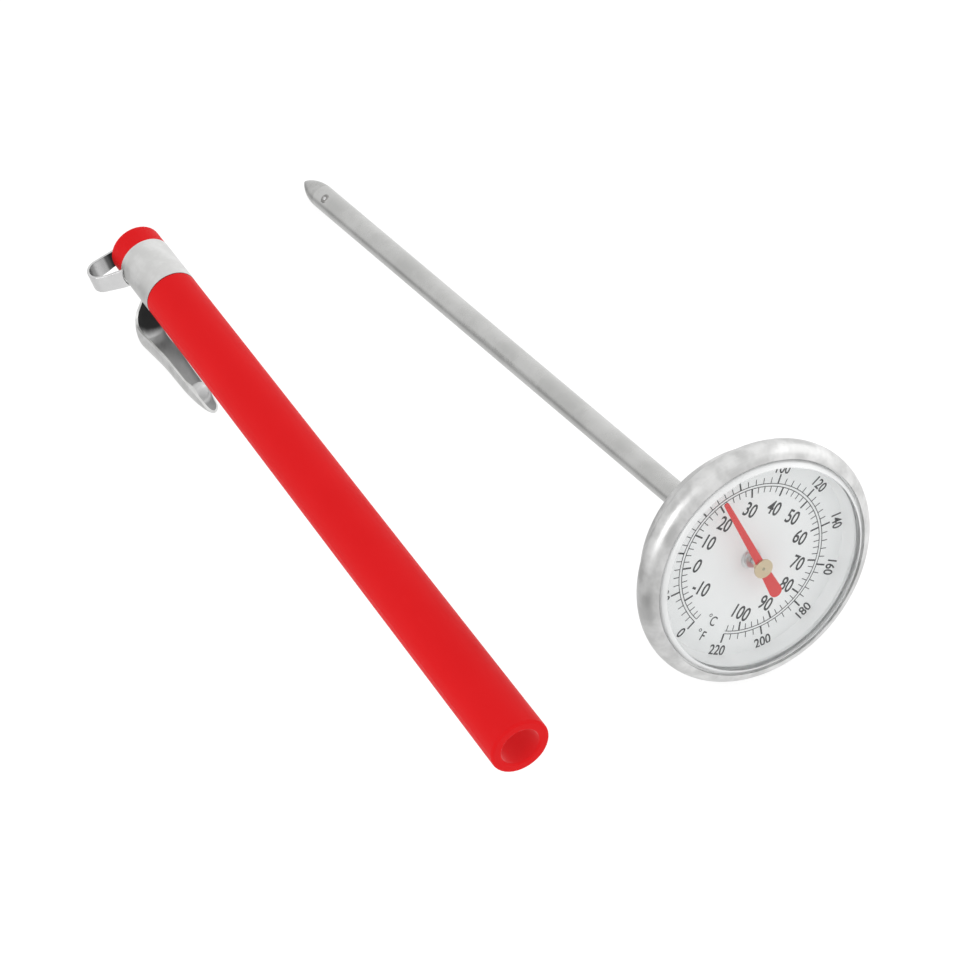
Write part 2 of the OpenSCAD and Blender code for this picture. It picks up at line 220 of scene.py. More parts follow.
def remap(nt, value, low, high, to_low, to_high):
    """The stretch from low to high eased into the stretch from to_low to to_high."""
    made = node(nt, "ShaderNodeMapRange", interpolation_type="SMOOTHSTEP")
    put(nt, made.inputs["Value"], value)
    for name, number in (("From Min", low), ("From Max", high), ("To Min", to_low), ("To Max", to_high)):
        made.inputs[name].default_value = number
    return made.outputs[0]


def blend(nt, share, a, b):
    """Colour a where share is 0, colour b where it is 1."""
    made = node(nt, "ShaderNodeMix", data_type="RGBA")
    put(nt, made.inputs[0], share)
    for socket, value in ((made.inputs[6], a), (made.inputs[7], b)):
        put(nt, socket, value if isinstance(value, bpy.types.NodeSocket) else (*value, 1))
    return made.outputs[2]


def noise(nt, vector, scale, detail=3.0, rough=0.55):
    made = node(nt, "ShaderNodeTexNoise")
    nt.links.new(vector, made.inputs["Vector"])
    made.inputs["Scale"].default_value = scale
    made.inputs["Detail"].default_value = detail
    made.inputs["Roughness"].default_value = rough
    return made.outputs[0]


def row_coords(nt):
    """Millimetres in the row frame."""
    coord = node(nt, "ShaderNodeTexCoord").outputs["Object"]
    made = node(nt, "ShaderNodeVectorMath", operation="SCALE")
    nt.links.new(coord, made.inputs[0])
    made.inputs["Scale"].default_value = 1 / MM
    return made.outputs[0]


def own_coords(nt, own):
    """Millimetres in a part's own frame, whose axis is Z."""
    made = node(nt, "ShaderNodeMapping", vector_type="TEXTURE")
    nt.links.new(row_coords(nt), made.inputs["Vector"])
    made.inputs["Location"].default_value = own.translation
    made.inputs["Rotation"].default_value = own.to_euler("XYZ")
    return made.outputs[0]


def stretched(nt, vector, scales):
    made = node(nt, "ShaderNodeVectorMath", operation="MULTIPLY")
    nt.links.new(vector, made.inputs[0])
    made.inputs[1].default_value = scales
    return made.outputs[0]


def turned_coords(nt, own, lines, along):
    """Coordinates that change fast across turning marks, which run round the axis, and slowly along them."""
    x, y, z = axes(nt, own_coords(nt, own))
    joined = node(nt, "ShaderNodeCombineXYZ")
    stretches = ((distance(nt, x, y), lines), (z, lines), (maths(nt, "ARCTAN2", y, x), along))
    for socket, (value, scale) in zip(joined.inputs, stretches):
        nt.links.new(multiply(nt, value, scale), socket)
    return joined.outputs[0]


def bump(nt, height, depth_mm, strength=1.0):
    made = node(nt, "ShaderNodeBump")
    nt.links.new(height, made.inputs["Height"])
    made.inputs["Strength"].default_value = strength
    made.inputs["Distance"].default_value = depth_mm * MM
    return made.outputs[0]


def principled(name, **inputs):
    """A material with one Principled shader, whose named inputs are set to numbers."""
    material = bpy.data.materials.new(name)
    material.use_nodes = True
    shader = material.node_tree.nodes["Principled BSDF"]
    for key, value in inputs.items():
        shader.inputs[key].default_value = value
    return material, material.node_tree, shader


# ---------------------------------------------------------------- materials

def floor_white():
    material, nt, shader = principled("floor_white", Roughness=0.8)
    grey = 0.22
    mottle = noise(nt, row_coords(nt), 0.02, 2)
    nt.links.new(blend(nt, mottle, [grey * 0.99] * 3, [grey * 1.01] * 3), shader.inputs["Base Color"])
    shader.inputs["Emission Color"].default_value = (1, 1, 1, 1)
    shader.inputs["Emission Strength"].default_value = 0.85
    return material


def steel(name, own, dark, light, rough, blotch=0.22):
    """Satin stainless steel: turning marks round the axis, soft handling blotches and a few fine pits.

    dark and light are its two tones, rough its two roughnesses, and a larger blotch gives smaller blotches.
    """
    material, nt, shader = principled(name, Metallic=1.0)
    place = own_coords(nt, own)
    marks = noise(nt, turned_coords(nt, own, 9.0, 1.2), 1.0, 4, 0.6)
    smudge = noise(nt, place, blotch, 3, 0.6)
    speck = noise(nt, place, 2.6, 4, 0.7)
    smudged = remap(nt, smudge, 0.35, 0.68, 0, 1)
    tone = maths(nt, "ADD", multiply(nt, smudged, 0.7), multiply(nt, marks, 0.3))
    grey = blend(nt, tone, dark, light)
    worn = blend(nt, remap(nt, speck, 0.62, 0.75, 0, 0.35), grey, [c * 0.8 for c in dark])
    nt.links.new(worn, shader.inputs["Base Color"])
    spread = maths(nt, "ADD", remap(nt, smudge, 0.3, 0.7, rough[0], rough[1]), multiply(nt, marks, 0.08))
    nt.links.new(spread, shader.inputs["Roughness"])
    nt.links.new(bump(nt, marks, 0.004), shader.inputs["Normal"])
    return material


def polished(name, dark, light, rough):
    """Bright rolled sheet: faint ripples from pressing, hazy fingering and grain along the sheath."""
    material, nt, shader = principled(name, Metallic=1.0)
    place = row_coords(nt)
    haze = noise(nt, place, 0.55, 3, 0.6)
    ripples = noise(nt, place, 0.5, 2, 0.4)
    grain = noise(nt, stretched(nt, own_coords(nt, SHEATH), (14, 14, 1.2)), 1.0, 3)
    nt.links.new(blend(nt, haze, dark, light), shader.inputs["Base Color"])
    nt.links.new(
        maths(nt, "ADD", remap(nt, haze, 0.35, 0.7, rough[0], rough[1]), multiply(nt, grain, 0.05)),
        shader.inputs["Roughness"],
    )
    nt.links.new(bump(nt, ripples, 0.03), shader.inputs["Normal"])
    return material


def moulded_red():
    """Injection-moulded plastic with a slight pearl texture, a little light scattering and scuffs.

    A thin painted shadow line darkens the red just below the band's lower edge, standing in for the shade that
    edge casts.
    """
    material, nt, shader = principled("sheath_red")
    place = own_coords(nt, SHEATH)
    pearl = noise(nt, place, 2.4, 4, 0.6)
    cloud = noise(nt, place, 0.09, 2)
    scuff = noise(nt, stretched(nt, place, (1.6, 1.6, 0.12)), 1.0, 4, 0.7)
    z = axes(nt, place)[2]
    red = blend(nt, cloud, (0.68, 0.0088, 0.0112), (0.73, 0.0115, 0.0140))
    faded = blend(nt, remap(nt, scuff, 0.58, 0.8, 0, 0.2), red, (0.80, 0.035, 0.035))
    # painted shadow: a thin dark band on the red just below the band's lower edge
    rising = remap(nt, z, BAND_BOTTOM - 0.25, BAND_BOTTOM - 0.1, 0, 0.9)
    falling = remap(nt, z, BAND_BOTTOM + 0.1, BAND_BOTTOM + 0.2, 1, 0)
    shadow_lined = blend(nt, multiply(nt, rising, falling), faded, (0.06, 0.012, 0.012))
    nt.links.new(shadow_lined, shader.inputs["Base Color"])
    nt.links.new(remap(nt, scuff, 0.3, 0.75, 0.42, 0.54), shader.inputs["Roughness"])
    nt.links.new(bump(nt, pearl, 0.01, 0.5), shader.inputs["Normal"])
    shader.inputs["Specular IOR Level"].default_value = 0.06
    shader.inputs["Subsurface Weight"].default_value = 0.12
    shader.inputs["Subsurface Radius"].default_value = (1.0, 0.15, 0.12)
    shader.inputs["Subsurface Scale"].default_value = 0.0008
    return material


def painted(name, low, high, roughness):
    """Paint or enamel with faint colour variation and orange peel."""
    material, nt, shader = principled(name)
    place = row_coords(nt)
    nt.links.new(blend(nt, noise(nt, place, 0.144, 2), low, high), shader.inputs["Base Color"])
    peel = noise(nt, place, 3.6, 2)
    nt.links.new(remap(nt, peel, 0.3, 0.7, roughness - 0.05, roughness + 0.05), shader.inputs["Roughness"])
    nt.links.new(bump(nt, peel, 0.004, 0.6), shader.inputs["Normal"])
    return material


def mix_shaders(nt, share, a, b):
    """Shader a where share is 0, shader b where it is 1."""
    made = node(nt, "ShaderNodeMixShader")
    for socket, value in zip(made.inputs, (share, a.outputs[0], b.outputs[0])):
        nt.links.new(value, socket)
    return made


def clear_window():
    """Clear moulded acrylic that mirrors more at a slant; its side wall is ground and white."""
    material = bpy.data.materials.new("window")
    material.use_nodes = True
    nt = material.node_tree
    nt.nodes.remove(nt.nodes["Principled BSDF"])
    haze = noise(nt, own_coords(nt, PROBE), 0.3, 3)
    facing = node(nt, "ShaderNodeLayerWeight")
    facing.inputs["Blend"].default_value = 0.5
    slant = maths(nt, "POWER", facing.outputs["Facing"], 5.0)
    x, y, _ = axes(nt, own_coords(nt, PROBE))
    side_wall = remap(nt, distance(nt, x, y), 16.75, 17.0, 0.0, 0.92)
    mirrored = maths(nt, "MAXIMUM", maths(nt, "ADD", multiply(nt, slant, 0.85), 0.025), side_wall)
    clear = node(nt, "ShaderNodeBsdfTransparent")
    clear.inputs["Color"].default_value = (0.99, 0.995, 0.995, 1)
    gloss = node(nt, "ShaderNodeBsdfGlossy")
    gloss.inputs["Color"].default_value = (0.93, 0.94, 0.94, 1)
    nt.links.new(
        maths(nt, "ADD", remap(nt, haze, 0.45, 0.8, 0.02, 0.08), multiply(nt, side_wall, 0.4)),
        gloss.inputs["Roughness"],
    )
    ground = node(nt, "ShaderNodeBsdfDiffuse")
    ground.inputs["Color"].default_value = (0.86, 0.865, 0.865, 1)
    surface = mix_shaders(nt, multiply(nt, side_wall, 0.75), gloss, ground)
    window = mix_shaders(nt, mirrored, clear, surface)
    nt.links.new(window.outputs[0], nt.nodes["Material Output"].inputs["Surface"])
    return material


def brass(name, low, high, rough):
    """Turned brass of the movement, with marks round the stem's axis."""
    material, nt, shader = principled(name, Metallic=1.0)
    marks = noise(nt, turned_coords(nt, PROBE, 12, 1.5), 1.0, 3)
    nt.links.new(blend(nt, marks, low, high), shader.inputs["Base Color"])
    nt.links.new(remap(nt, marks, 0.3, 0.7, rough[0], rough[1]), shader.inputs["Roughness"])
    nt.links.new(bump(nt, marks, 0.003), shader.inputs["Normal"])
    return material


def shaded_steel(name, own, tones, rough, spot=None):
    """Sheet metal with painted shades: tones are (z in the given frame, grey) from low to high.

    A spot is a painted dark reflection, nearly black, at y and z in the same frame, with a radius.
    """
    material, nt, shader = principled(name, Metallic=1.0)
    place = own_coords(nt, own)
    _, y, z = axes(nt, place)
    haze = noise(nt, place, 0.8, 3, 0.6)
    along = maths(nt, "ADD", z, remap(nt, haze, 0.3, 0.7, -0.05, 0.05))
    grey = [tones[0][1]] * 3
    for (low, _), (high, tone) in zip(tones, tones[1:]):
        grey = blend(nt, remap(nt, along, low, high, 0, 1), grey, [tone] * 3)
    if spot:
        spot_y, spot_z, spot_r = spot
        away = distance(nt, maths(nt, "SUBTRACT", y, spot_y), maths(nt, "SUBTRACT", z, spot_z))
        # painted dark reflection: the spot goes nearly black
        grey = blend(nt, remap(nt, away, spot_r * 0.6, spot_r, 1, 0), grey, (0.02, 0.02, 0.02))
    nt.links.new(grey, shader.inputs["Base Color"])
    nt.links.new(remap(nt, haze, 0.3, 0.7, rough[0], rough[1]), shader.inputs["Roughness"])
    nt.links.new(bump(nt, haze, 0.02), shader.inputs["Normal"])
    return material


def blade_inside():
    """Painted shade and painted reflections down the blade's hollow side: black shade at the root, and a painted
    dark reflection near its ball.
    """
    # painted shade and painted reflections: greys going down from the root, black shade at the root itself
    below_root = [(22.4, 0.45), (20.0, 0.72), (17.6, 0.42), (9, 0.46), (2.4, 0.52), (1.3, 0.03)]
    return shaded_steel(
        "blade_inside", SHEATH @ rot("Z", BLADE_ANGLE),
        [(BLADE_ROOT - drop, tone) for drop, tone in below_root],
        (0.45, 0.55), spot=(-0.5, BLADE_ROOT - 17.4, 1.0),
    )


def loop_inside():
    """Painted shade and painted reflections across the eye strip's inner side, by distance from the sheath's
    axis, black at both ends.
    """
    return shaded_steel(
        "loop_inside", SHEATH @ rot("Z", LOOP_ANGLE) @ rot("Y", 90),
        # painted shade and painted reflections: black near the sheath and at the far end, lighter between
        [(4.2, 0.02), (5.0, 0.10), (5.6, 0.42), (6.9, 0.55), (7.7, 0.25), (8.4, 0.03)],
        (0.18, 0.3),
    )


def give(material, *names):
    """Each named CAD node wears the material in all its slots."""
    for name in names:
        slots = NODES[name].data.materials
        if not slots:
            slots.append(material)
        for i in range(len(slots)):
            slots[i] = material


# ---------------------------------------------------------------- piece helpers

def piece(name, mesh, own, materials, body):
    """A mesh drawn in millimetres in a part's own frame becomes a piece in the row frame."""
    mesh.transform(Matrix.Scale(MM, 4) @ own)
    for material in materials if isinstance(materials, (list, tuple)) else [materials]:
        mesh.materials.append(material)
    made = bpy.data.objects.new(name, mesh)
    bpy.context.scene.collection.objects.link(made)
    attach(made, body)
    return made


def body_with(name):
    return NODES[name]["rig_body"]


def mesh_from(bm, name, outward=True):
    """Frees the bmesh; outward turns all faces to face out."""
    if outward:
        bmesh.ops.recalc_face_normals(bm, faces=bm.faces)
    mesh = bpy.data.meshes.new(name)
    bm.to_mesh(mesh)
    bm.free()
    return mesh


def add_prism(bm, outline, low, high):
    """A closed prism over an outline that is given anticlockwise."""
    base = [bm.verts.new((x, y, low)) for x, y in outline]
    top = [bm.verts.new((x, y, high)) for x, y in outline]
    bm.faces.new(list(reversed(base)))
    bm.faces.new(top)
    for i in range(len(base)):
        j = (i + 1) % len(base)
        bm.faces.new((base[i], base[j], top[j], top[i]))


def add_skin(bm, rings):
    """Joins each ring of vertices to the next with quads."""
    for p, q in zip(rings, rings[1:]):
        for k in range(len(p)):
            j = (k + 1) % len(p)
            bm.faces.new((p[k], p[j], q[j], q[k]))


def turned(name, profile, steps):
    """A mesh turned from (radius, height) points; points on the axis close it."""
    bm = bmesh.new()
    turns = [2 * math.pi * k / steps for k in range(steps)]
    rings = []
    for r, z in profile:
        if r == 0:
            rings.append([bm.verts.new((0, 0, z))])
        else:
            rings.append([bm.verts.new((r * math.cos(a), r * math.sin(a), z)) for a in turns])
    for a, b in zip(rings, rings[1:]):
        for k in range(steps):
            j = (k + 1) % steps
            ring = [a[k % len(a)], a[j % len(a)], b[j % len(b)], b[k % len(b)]]
            corners = list(dict.fromkeys(ring))
            if len(corners) > 2:
                bm.faces.new(corners)
    mesh = mesh_from(bm, name)
    mesh.shade_smooth()
    return mesh


# ---------------------------------------------------------------- dial printing

# Angles run clockwise from the top of the dial, in degrees; sizes are in millimetres
SCALE_START = -163.6
DEGREES_PER_F = 1.5
SCALE_END = SCALE_START + 220 * DEGREES_PER_F
C_AT_ZERO = -115.6
DEGREES_PER_C = 2.7
C_RING, F_RING, RING_WIDTH = 12.07, 12.53, 0.11
C_MAJOR_IN, C_MINOR_IN = 10.6, 11.1
F_MAJOR_OUT, F_MINOR_OUT = 14.05, 13.5
MAJOR_WIDTH, MINOR_WIDTH = 0.26, 0.12
INK_LOW, INK_HIGH = 0.005, 0.03
PRINT_SHIFT = (0.08, -0.12)
FONT_DIGIT_HEIGHT = 0.729


def clock(angle, radius):
    """The point on the dial at an angle and a radius."""
    a = math.radians(angle)
    return Vector((radius * math.sin(a), radius * math.cos(a)))


def add_tick(bm, angle, r_in, r_out, width):
    across = clock(angle + 90, width / 2)
    inner, outer = clock(angle, r_in), clock(angle, r_out)
    add_prism(bm, [inner - across, inner + across, outer + across, outer - across], INK_LOW, INK_HIGH)


def add_arc(bm, radius, width, start, end):
    """A thin ribbon of ink along part of a circle."""
    steps = 220
    rows = []
    for i in range(steps + 1):
        angle = start + (end - start) * i / steps
        a, b = clock(angle, radius - width / 2), clock(angle, radius + width / 2)
        rows.append([
            bm.verts.new((a.x, a.y, INK_LOW)), bm.verts.new((b.x, b.y, INK_LOW)),
            bm.verts.new((b.x, b.y, INK_HIGH)), bm.verts.new((a.x, a.y, INK_HIGH)),
        ])
    add_skin(bm, rows)
    bm.faces.new(rows[0])
    bm.faces.new(list(reversed(rows[-1])))


def make_scale(ink):
    bm = bmesh.new()
    for f in range(0, 221, 4):
        outer, width = (F_MAJOR_OUT, MAJOR_WIDTH) if f % 20 == 0 else (F_MINOR_OUT, MINOR_WIDTH)
        add_tick(bm, SCALE_START + DEGREES_PER_F * f, F_RING, outer, width)
    for c in range(-18, 105, 2):
        inner, width = (C_MAJOR_IN, MAJOR_WIDTH) if c % 10 == 0 else (C_MINOR_IN, MINOR_WIDTH)
        add_tick(bm, max(SCALE_START, C_AT_ZERO + DEGREES_PER_C * c), inner, C_RING, width)
    for radius in (C_RING, F_RING):
        add_arc(bm, radius, RING_WIDTH, SCALE_START, SCALE_END)
    bmesh.ops.translate(bm, verts=bm.verts, vec=(*PRINT_SHIFT, 0))
    piece("dial_scale", mesh_from(bm, "dial_scale"), PROBE, ink, "head")


def glyphs(text, height, condensed, weight):
    """A printed label as a thin solid, centred, its digits height high; condensed is its share of full width."""
    curve = bpy.data.curves.new("label", "FONT")
    curve.body = text
    curve.align_x = "CENTER"
    curve.size = 1.0
    curve.extrude = 0.01
    curve.offset = weight
    curve.resolution_u = 6
    holder = bpy.data.objects.new("label", curve)
    bpy.context.scene.collection.objects.link(holder)
    mesh = bpy.data.meshes.new_from_object(holder.evaluated_get(bpy.context.evaluated_depsgraph_get()))
    bpy.data.objects.remove(holder)
    bpy.data.curves.remove(curve)
    xs = [v.co.x for v in mesh.vertices]
    grow = height / FONT_DIGIT_HEIGHT
    mid_x = (min(xs) + max(xs)) / 2
    middle = FONT_DIGIT_HEIGHT / 2
    for v in mesh.vertices:
        v.co = Vector((
            (v.co.x - mid_x) * grow * condensed,
            (v.co.y - middle) * grow,
            INK_HIGH if v.co.z > 0 else INK_LOW,
        ))
    return mesh


def make_labels(name, labels, ink, height, condensed, weight):
    """labels: text, x, y and turn in degrees anticlockwise, in the dial's plane."""
    bm = bmesh.new()
    for text, x, y, turn in labels:
        mesh = glyphs(text, height, condensed, weight)
        mesh.transform(Matrix.Translation((x, y, 0)) @ rot("Z", turn))
        bm.from_mesh(mesh)
        bpy.data.meshes.remove(mesh)
    bmesh.ops.remove_doubles(bm, verts=bm.verts, dist=1e-5)
    piece(name, mesh_from(bm, name, outward=False), PROBE, ink, "head")


# Text, x and y
CELSIUS_LABELS = [
    ("-10", -5.65, -6.95), ("0", -8.55, -4.0), ("10", -8.8, 0.0), ("20", -7.95, 3.45), ("30", -4.95, 6.85),
    ("40", -1.05, 8.5), ("50", 3.15, 8.25), ("60", 6.55, 5.8), ("70", 8.75, 2.05), ("80", 9.05, -1.7),
    ("90", 7.25, -5.5), ("100", 4.0, -8.25),
]
# Degrees Fahrenheit, how far round the label sits past its mark, and its distance from the centre
FAHRENHEIT_LABELS = [
    (0, 1.4, 15.15), (20, 1.2, 15.1), (40, 0, 15.2), (60, 0, 15.2), (80, 0, 15.2), (100, 0.4, 15.0),
    (120, 1.4, 15.1), (140, 1.8, 15.3), (160, 1.8, 15.35), (180, 0.6, 15.35), (200, 0.2, 15.4),
    (220, 0.7, 15.35),
]
UNIT_LABELS = [("C", -0.15, -11.0), ("F", -0.45, -13.7)]
DEGREE_SIGNS = [(-1.15, -10.35), (-1.5, -13.05)]


def round_the_dial(labels):
    """Labels placed by their degrees Fahrenheit, the right way up in the lower part too."""
    placed = []
    for f, past, radius in labels:
        angle = SCALE_START + DEGREES_PER_F * f + past
        at = clock(angle, radius)
        placed.append((str(f), at.x, at.y, 180 - angle if abs(angle) > 100 else -angle))
    return placed


def make_degree_signs(ink):
    """Small flat rings of ink."""
    steps, r_in, r_out = 24, 0.17, 0.27
    section = ((r_in, INK_LOW), (r_out, INK_LOW), (r_out, INK_HIGH), (r_in, INK_HIGH))
    bm = bmesh.new()
    for x, y in DEGREE_SIGNS:
        rings = []
        for i in range(steps):
            a = 2 * math.pi * i / steps
            rings.append([
                bm.verts.new((x + r * math.cos(a), y + r * math.sin(a), z)) for r, z in section
            ])
        add_skin(bm, rings + rings[:1])
    piece("degree_signs", mesh_from(bm, "degree_signs"), PROBE, ink, "head")


def make_printing(ink):
    make_scale(ink)
    upright = [(*label, 0) for label in CELSIUS_LABELS]
    make_labels("celsius_digits", upright, ink, height=2.3, condensed=0.76, weight=0.012)
    make_labels(
        "fahrenheit_digits", round_the_dial(FAHRENHEIT_LABELS), ink, height=1.72, condensed=0.82, weight=0.012
    )
    units = [(*label, 0) for label in UNIT_LABELS]
    make_labels("unit_letters", units, ink, height=1.65, condensed=0.74, weight=0.004)
    make_degree_signs(ink)


# ---------------------------------------------------------------- sheet pieces of the clip

def smooth_lookup(rows, column, s):
    """Monotone cubic through a table's rows, so that bent sheet has no creases; s is its first column."""
    if s <= rows[0][0]:
        return rows[0][column]
    if s >= rows[-1][0]:
        return rows[-1][column]
    slopes = [(b[column] - a[column]) / (b[0] - a[0]) for a, b in zip(rows, rows[1:])]
    tangents = [slopes[0]]
    for a, b in zip(slopes, slopes[1:]):
        tangents.append(0.0 if a * b <= 0 else 2 * a * b / (a + b))
    tangents.append(slopes[-1])
    for i in range(len(rows) - 1):
        a, b = rows[i], rows[i + 1]
        if s <= b[0]:
            h = b[0] - a[0]
            t = (s - a[0]) / h
            return (
                (2 * t**3 - 3 * t**2 + 1) * a[column] + (t**3 - 2 * t**2 + t) * h * tangents[i]
                + (3 * t**2 - 2 * t**3) * b[column] + (t**3 - t**2) * h * tangents[i + 1]
            )


def sheet_shell(name, rows, thickness, lumps=None, second="inner"):
    """Rows of points on a bent sheet's middle surface become a closed shell.

    Lumps raise its inner side, and the side that second names wears the second material.
    """
    n, m = len(rows), len(rows[0])
    outer, inner = [], []
    for i in range(n):
        for j in range(m):
            along = rows[min(i + 1, n - 1)][j] - rows[max(i - 1, 0)][j]
            across = rows[i][min(j + 1, m - 1)] - rows[i][max(j - 1, 0)]
            normal = along.cross(across).normalized()
            lump = Vector((lumps[i][j], 0, 0)) if lumps else Vector()
            outer.append(rows[i][j] + normal * thickness / 2)
            inner.append(rows[i][j] - normal * thickness / 2 - lump)
    faces, inside = [], []
    for i in range(n - 1):
        for j in range(m - 1):
            a, b, c, d = i * m + j, (i + 1) * m + j, (i + 1) * m + j + 1, i * m + j + 1
            faces += [(a, d, c, b), (n * m + a, n * m + b, n * m + c, n * m + d)]
            inside.append(len(faces) - (1 if second == "inner" else 2))
    for i in range(n - 1):
        for j in (0, m - 1):
            a, b = i * m + j, (i + 1) * m + j
            faces.append((a, b, n * m + b, n * m + a))
    for j in range(m - 1):
        for i in (0, n - 1):
            a, b = i * m + j, i * m + j + 1
            faces.append((a, b, n * m + b, n * m + a))
    mesh = bpy.data.meshes.new(name)
    mesh.from_pydata([tuple(p) for p in outer + inner], [], faces)
    for index in inside:
        mesh.polygons[index].material_index = 1
    bm = bmesh.new()
    bm.from_mesh(mesh)
    bmesh.ops.recalc_face_normals(bm, faces=bm.faces)
    bm.to_mesh(mesh)
    bm.free()
    mesh.shade_smooth()
    return mesh


def soften(made):
    """Rounds the sheet's cut edges."""
    bevel = made.modifiers.new("edge", "BEVEL")
    bevel.width = 0.1 * MM
    bevel.segments = 3
    bevel.limit_method = "ANGLE"
    bevel.angle_limit = math.radians(50)
    bevel.harden_normals = True


# Distance from the root, how far the blade's back stands off the sheath's axis, and its section's radius and
# half angle
BLADE_ROWS = [
    (0, 4.36, 4.36, 34), (0.5, 6.7, 3.8, 43), (1.5, 8.5, 3.1, 62), (2.5, 9.4, 2.85, 76),
    (4, 9.8, 2.8, 84), (7, 9.5, 2.65, 86), (12, 9.0, 2.4, 86), (18, 8.8, 2.2, 86),
    (20.5, 8.6, 2.05, 84), (23.5, 8.1, 1.75, 72), (24.7, 7.8, 1.45, 52), (25.2, 7.6, 1.2, 26),
]
BEAD_AT, BEAD_H = 20.0, 2.7
BEAD_LONG, BEAD_WIDE = 1.5, 1.45
WIDENING, WIDE_UNTIL, WIDE_FADE = 0.15, 14, 8


def widening(s):
    """How much wider the blade's one edge is: all of it near the root, falling smoothly to none."""
    t = max(0.0, min(1.0, (WIDE_UNTIL - s) / WIDE_FADE))
    return WIDENING * (t * t * (3 - 2 * t))


def blade_stations():
    """Distances from the root, close together at the bend and round the ball."""
    bend = [0.1 * i for i in range(50)]
    back = [5 + 0.4 * i for i in range(31)]
    ball = [17.6 + 0.19 * i for i in range(40)]
    return bend + back + ball + [25.1, 25.2]


def make_blade(materials):
    rows, lumps = [], []
    half = 14
    for s in blade_stations():
        back = smooth_lookup(BLADE_ROWS, 1, s)
        r = smooth_lookup(BLADE_ROWS, 2, s) - CLIP_T / 2
        spread = smooth_lookup(BLADE_ROWS, 3, s)
        row, lump = [], []
        for j in range(-half, half + 1):
            a = math.radians(spread * j / half)
            w = r * math.sin(a) * (1 + widening(s) if j < 0 else 1)
            row.append(Vector((back - CLIP_T / 2 - r + r * math.cos(a), w, BLADE_ROOT - s)))
            fall = abs((s - BEAD_AT) / BEAD_LONG) ** 3 + abs(w / BEAD_WIDE) ** 3
            lump.append(BEAD_H * math.exp(-fall))
        rows.append(row)
        lumps.append(lump)
    mesh = sheet_shell("pocket_blade", rows, CLIP_T, lumps)
    own = SHEATH @ rot("Z", BLADE_ANGLE)
    made = piece("pocket_blade", mesh, own, materials, body_with("clip_blade"))
    soften(made)
    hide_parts("clip_blade")


# The eye strip's end over the closed end: distance from the axis, and the share of full width of each half
LOOP_END = [
    (5.6, 0.78, 1.0), (4.5, 0.78, 0.9), (3.4, 0.78, 0.9), (2.6, 0.78, 0.9), (1.9, 0.78, 0.9),
    (1.2, 0.7, 0.7), (0.6, 0.58, 0.58), (0.0, 0.4, 0.4),
]
LOOP_BEND_R = 1.9
LOOP_HIGH, LOOP_LOW = 0.78, 1.06


def loop_path():
    """The strip's middle line, (outward, up): straight out from the band, round a bend, back over the end.

    Each point has the share of full width of the strip's upper and lower half.
    """
    bend_r = LOOP_BEND_R
    root = Vector((loop_root_r() + 0.12, BAND_TOP - 0.8))
    bend = Vector((LOOP_REACH, SHEATH_LEN + CLIP_T / 2 + 0.15 - bend_r))
    reach = (bend - root).length
    slope = math.atan2(bend.y - root.y, bend.x - root.x) - math.asin(bend_r / reach)
    lead = Vector((math.cos(slope), math.sin(slope)))
    straight = root + 0.5 * lead
    path = [(root, 1.0, 1.0), (straight, 1.0, 1.0)]
    start = slope - math.pi / 2
    begin = bend + bend_r * Vector((math.cos(start), math.sin(start)))
    for k in range(1, 10):
        share = k / 10
        high = 1.0 + (LOOP_HIGH - 1.0) * min(1, share * 1.6)
        path.append((straight.lerp(begin, share), high, 1.0 + (LOOP_LOW - 1.0) * share))
    for k in range(33):
        a = start + (math.pi / 2 - start) * k / 32
        path.append((bend + bend_r * Vector((math.cos(a), math.sin(a))), LOOP_HIGH, LOOP_LOW))
    for x, high, low in LOOP_END:
        path.append((Vector((x, bend.y + bend_r)), high, low))
    return path


def loop_root_r():
    """The band's outer radius at its top edge, where the strip's root lies."""
    return sheath_r(BAND_TOP) - GROOVE + CLIP_T


def make_loop(materials):
    outer_r = loop_root_r()
    rows = []
    for i, (p, high, low) in enumerate(loop_path()):
        row = []
        for j in range(-6, 7):
            w = LOOP_W / 2 * (high if j > 0 else low) * j / 6
            sag = outer_r - math.sqrt(outer_r * outer_r - w * w) if i == 0 else 0
            row.append(Vector((p.x - sag, w, p.y)))
        rows.append(row)
    mesh = sheet_shell("eye_strip", rows, CLIP_T, second="outer")
    own = SHEATH @ rot("Z", LOOP_ANGLE)
    made = piece("eye_strip", mesh, own, materials, body_with("clip_loop"))
    soften(made)
    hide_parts("clip_loop")


# ---------------------------------------------------------------- small details

def make_weld_mark(tinted, bright):
    """A spot weld on the visible side of the stem near its tip: a heat-tinted crater and the bead in it."""
    down_stem, turn, sunk = -130.0, 167, -0.12
    crater = [
        (0.34, sunk), (0.80, sunk), (0.80, -0.05), (0.72, 0.01), (0.62, 0.05), (0.52, 0.065),
        (0.42, 0.04), (0.34, -0.01), (0.34, sunk),
    ]
    bead = [
        (0.0, sunk), (0.34, sunk), (0.34, 0.0), (0.28, 0.05), (0.18, 0.08), (0.08, 0.092), (0.0, 0.095),
    ]
    along = PROBE @ Matrix.Translation((0, 0, down_stem)) @ rot("Z", turn)
    place = along @ Matrix.Translation((STEM_R, 0, 0)) @ rot("Y", 90)
    piece("weld_mark", turned("weld_mark", crater, 32), place, tinted, body_with("stem_tube"))
    piece("weld_bead", turned("weld_bead", bead, 32), place, bright, body_with("stem_tube"))


def make_eyelet(material):
    """A thin pressed ring that lines the dial's centre hole."""
    profile = [(0.95, 0.03), (0.95, 0.16), (1.02, 0.20), (1.12, 0.20), (1.62, 0.08), (1.66, 0.03)]
    mesh = turned("dial_eyelet", profile + profile[:1], 48)
    piece("dial_eyelet", mesh, PROBE, material, body_with("dial_plate"))


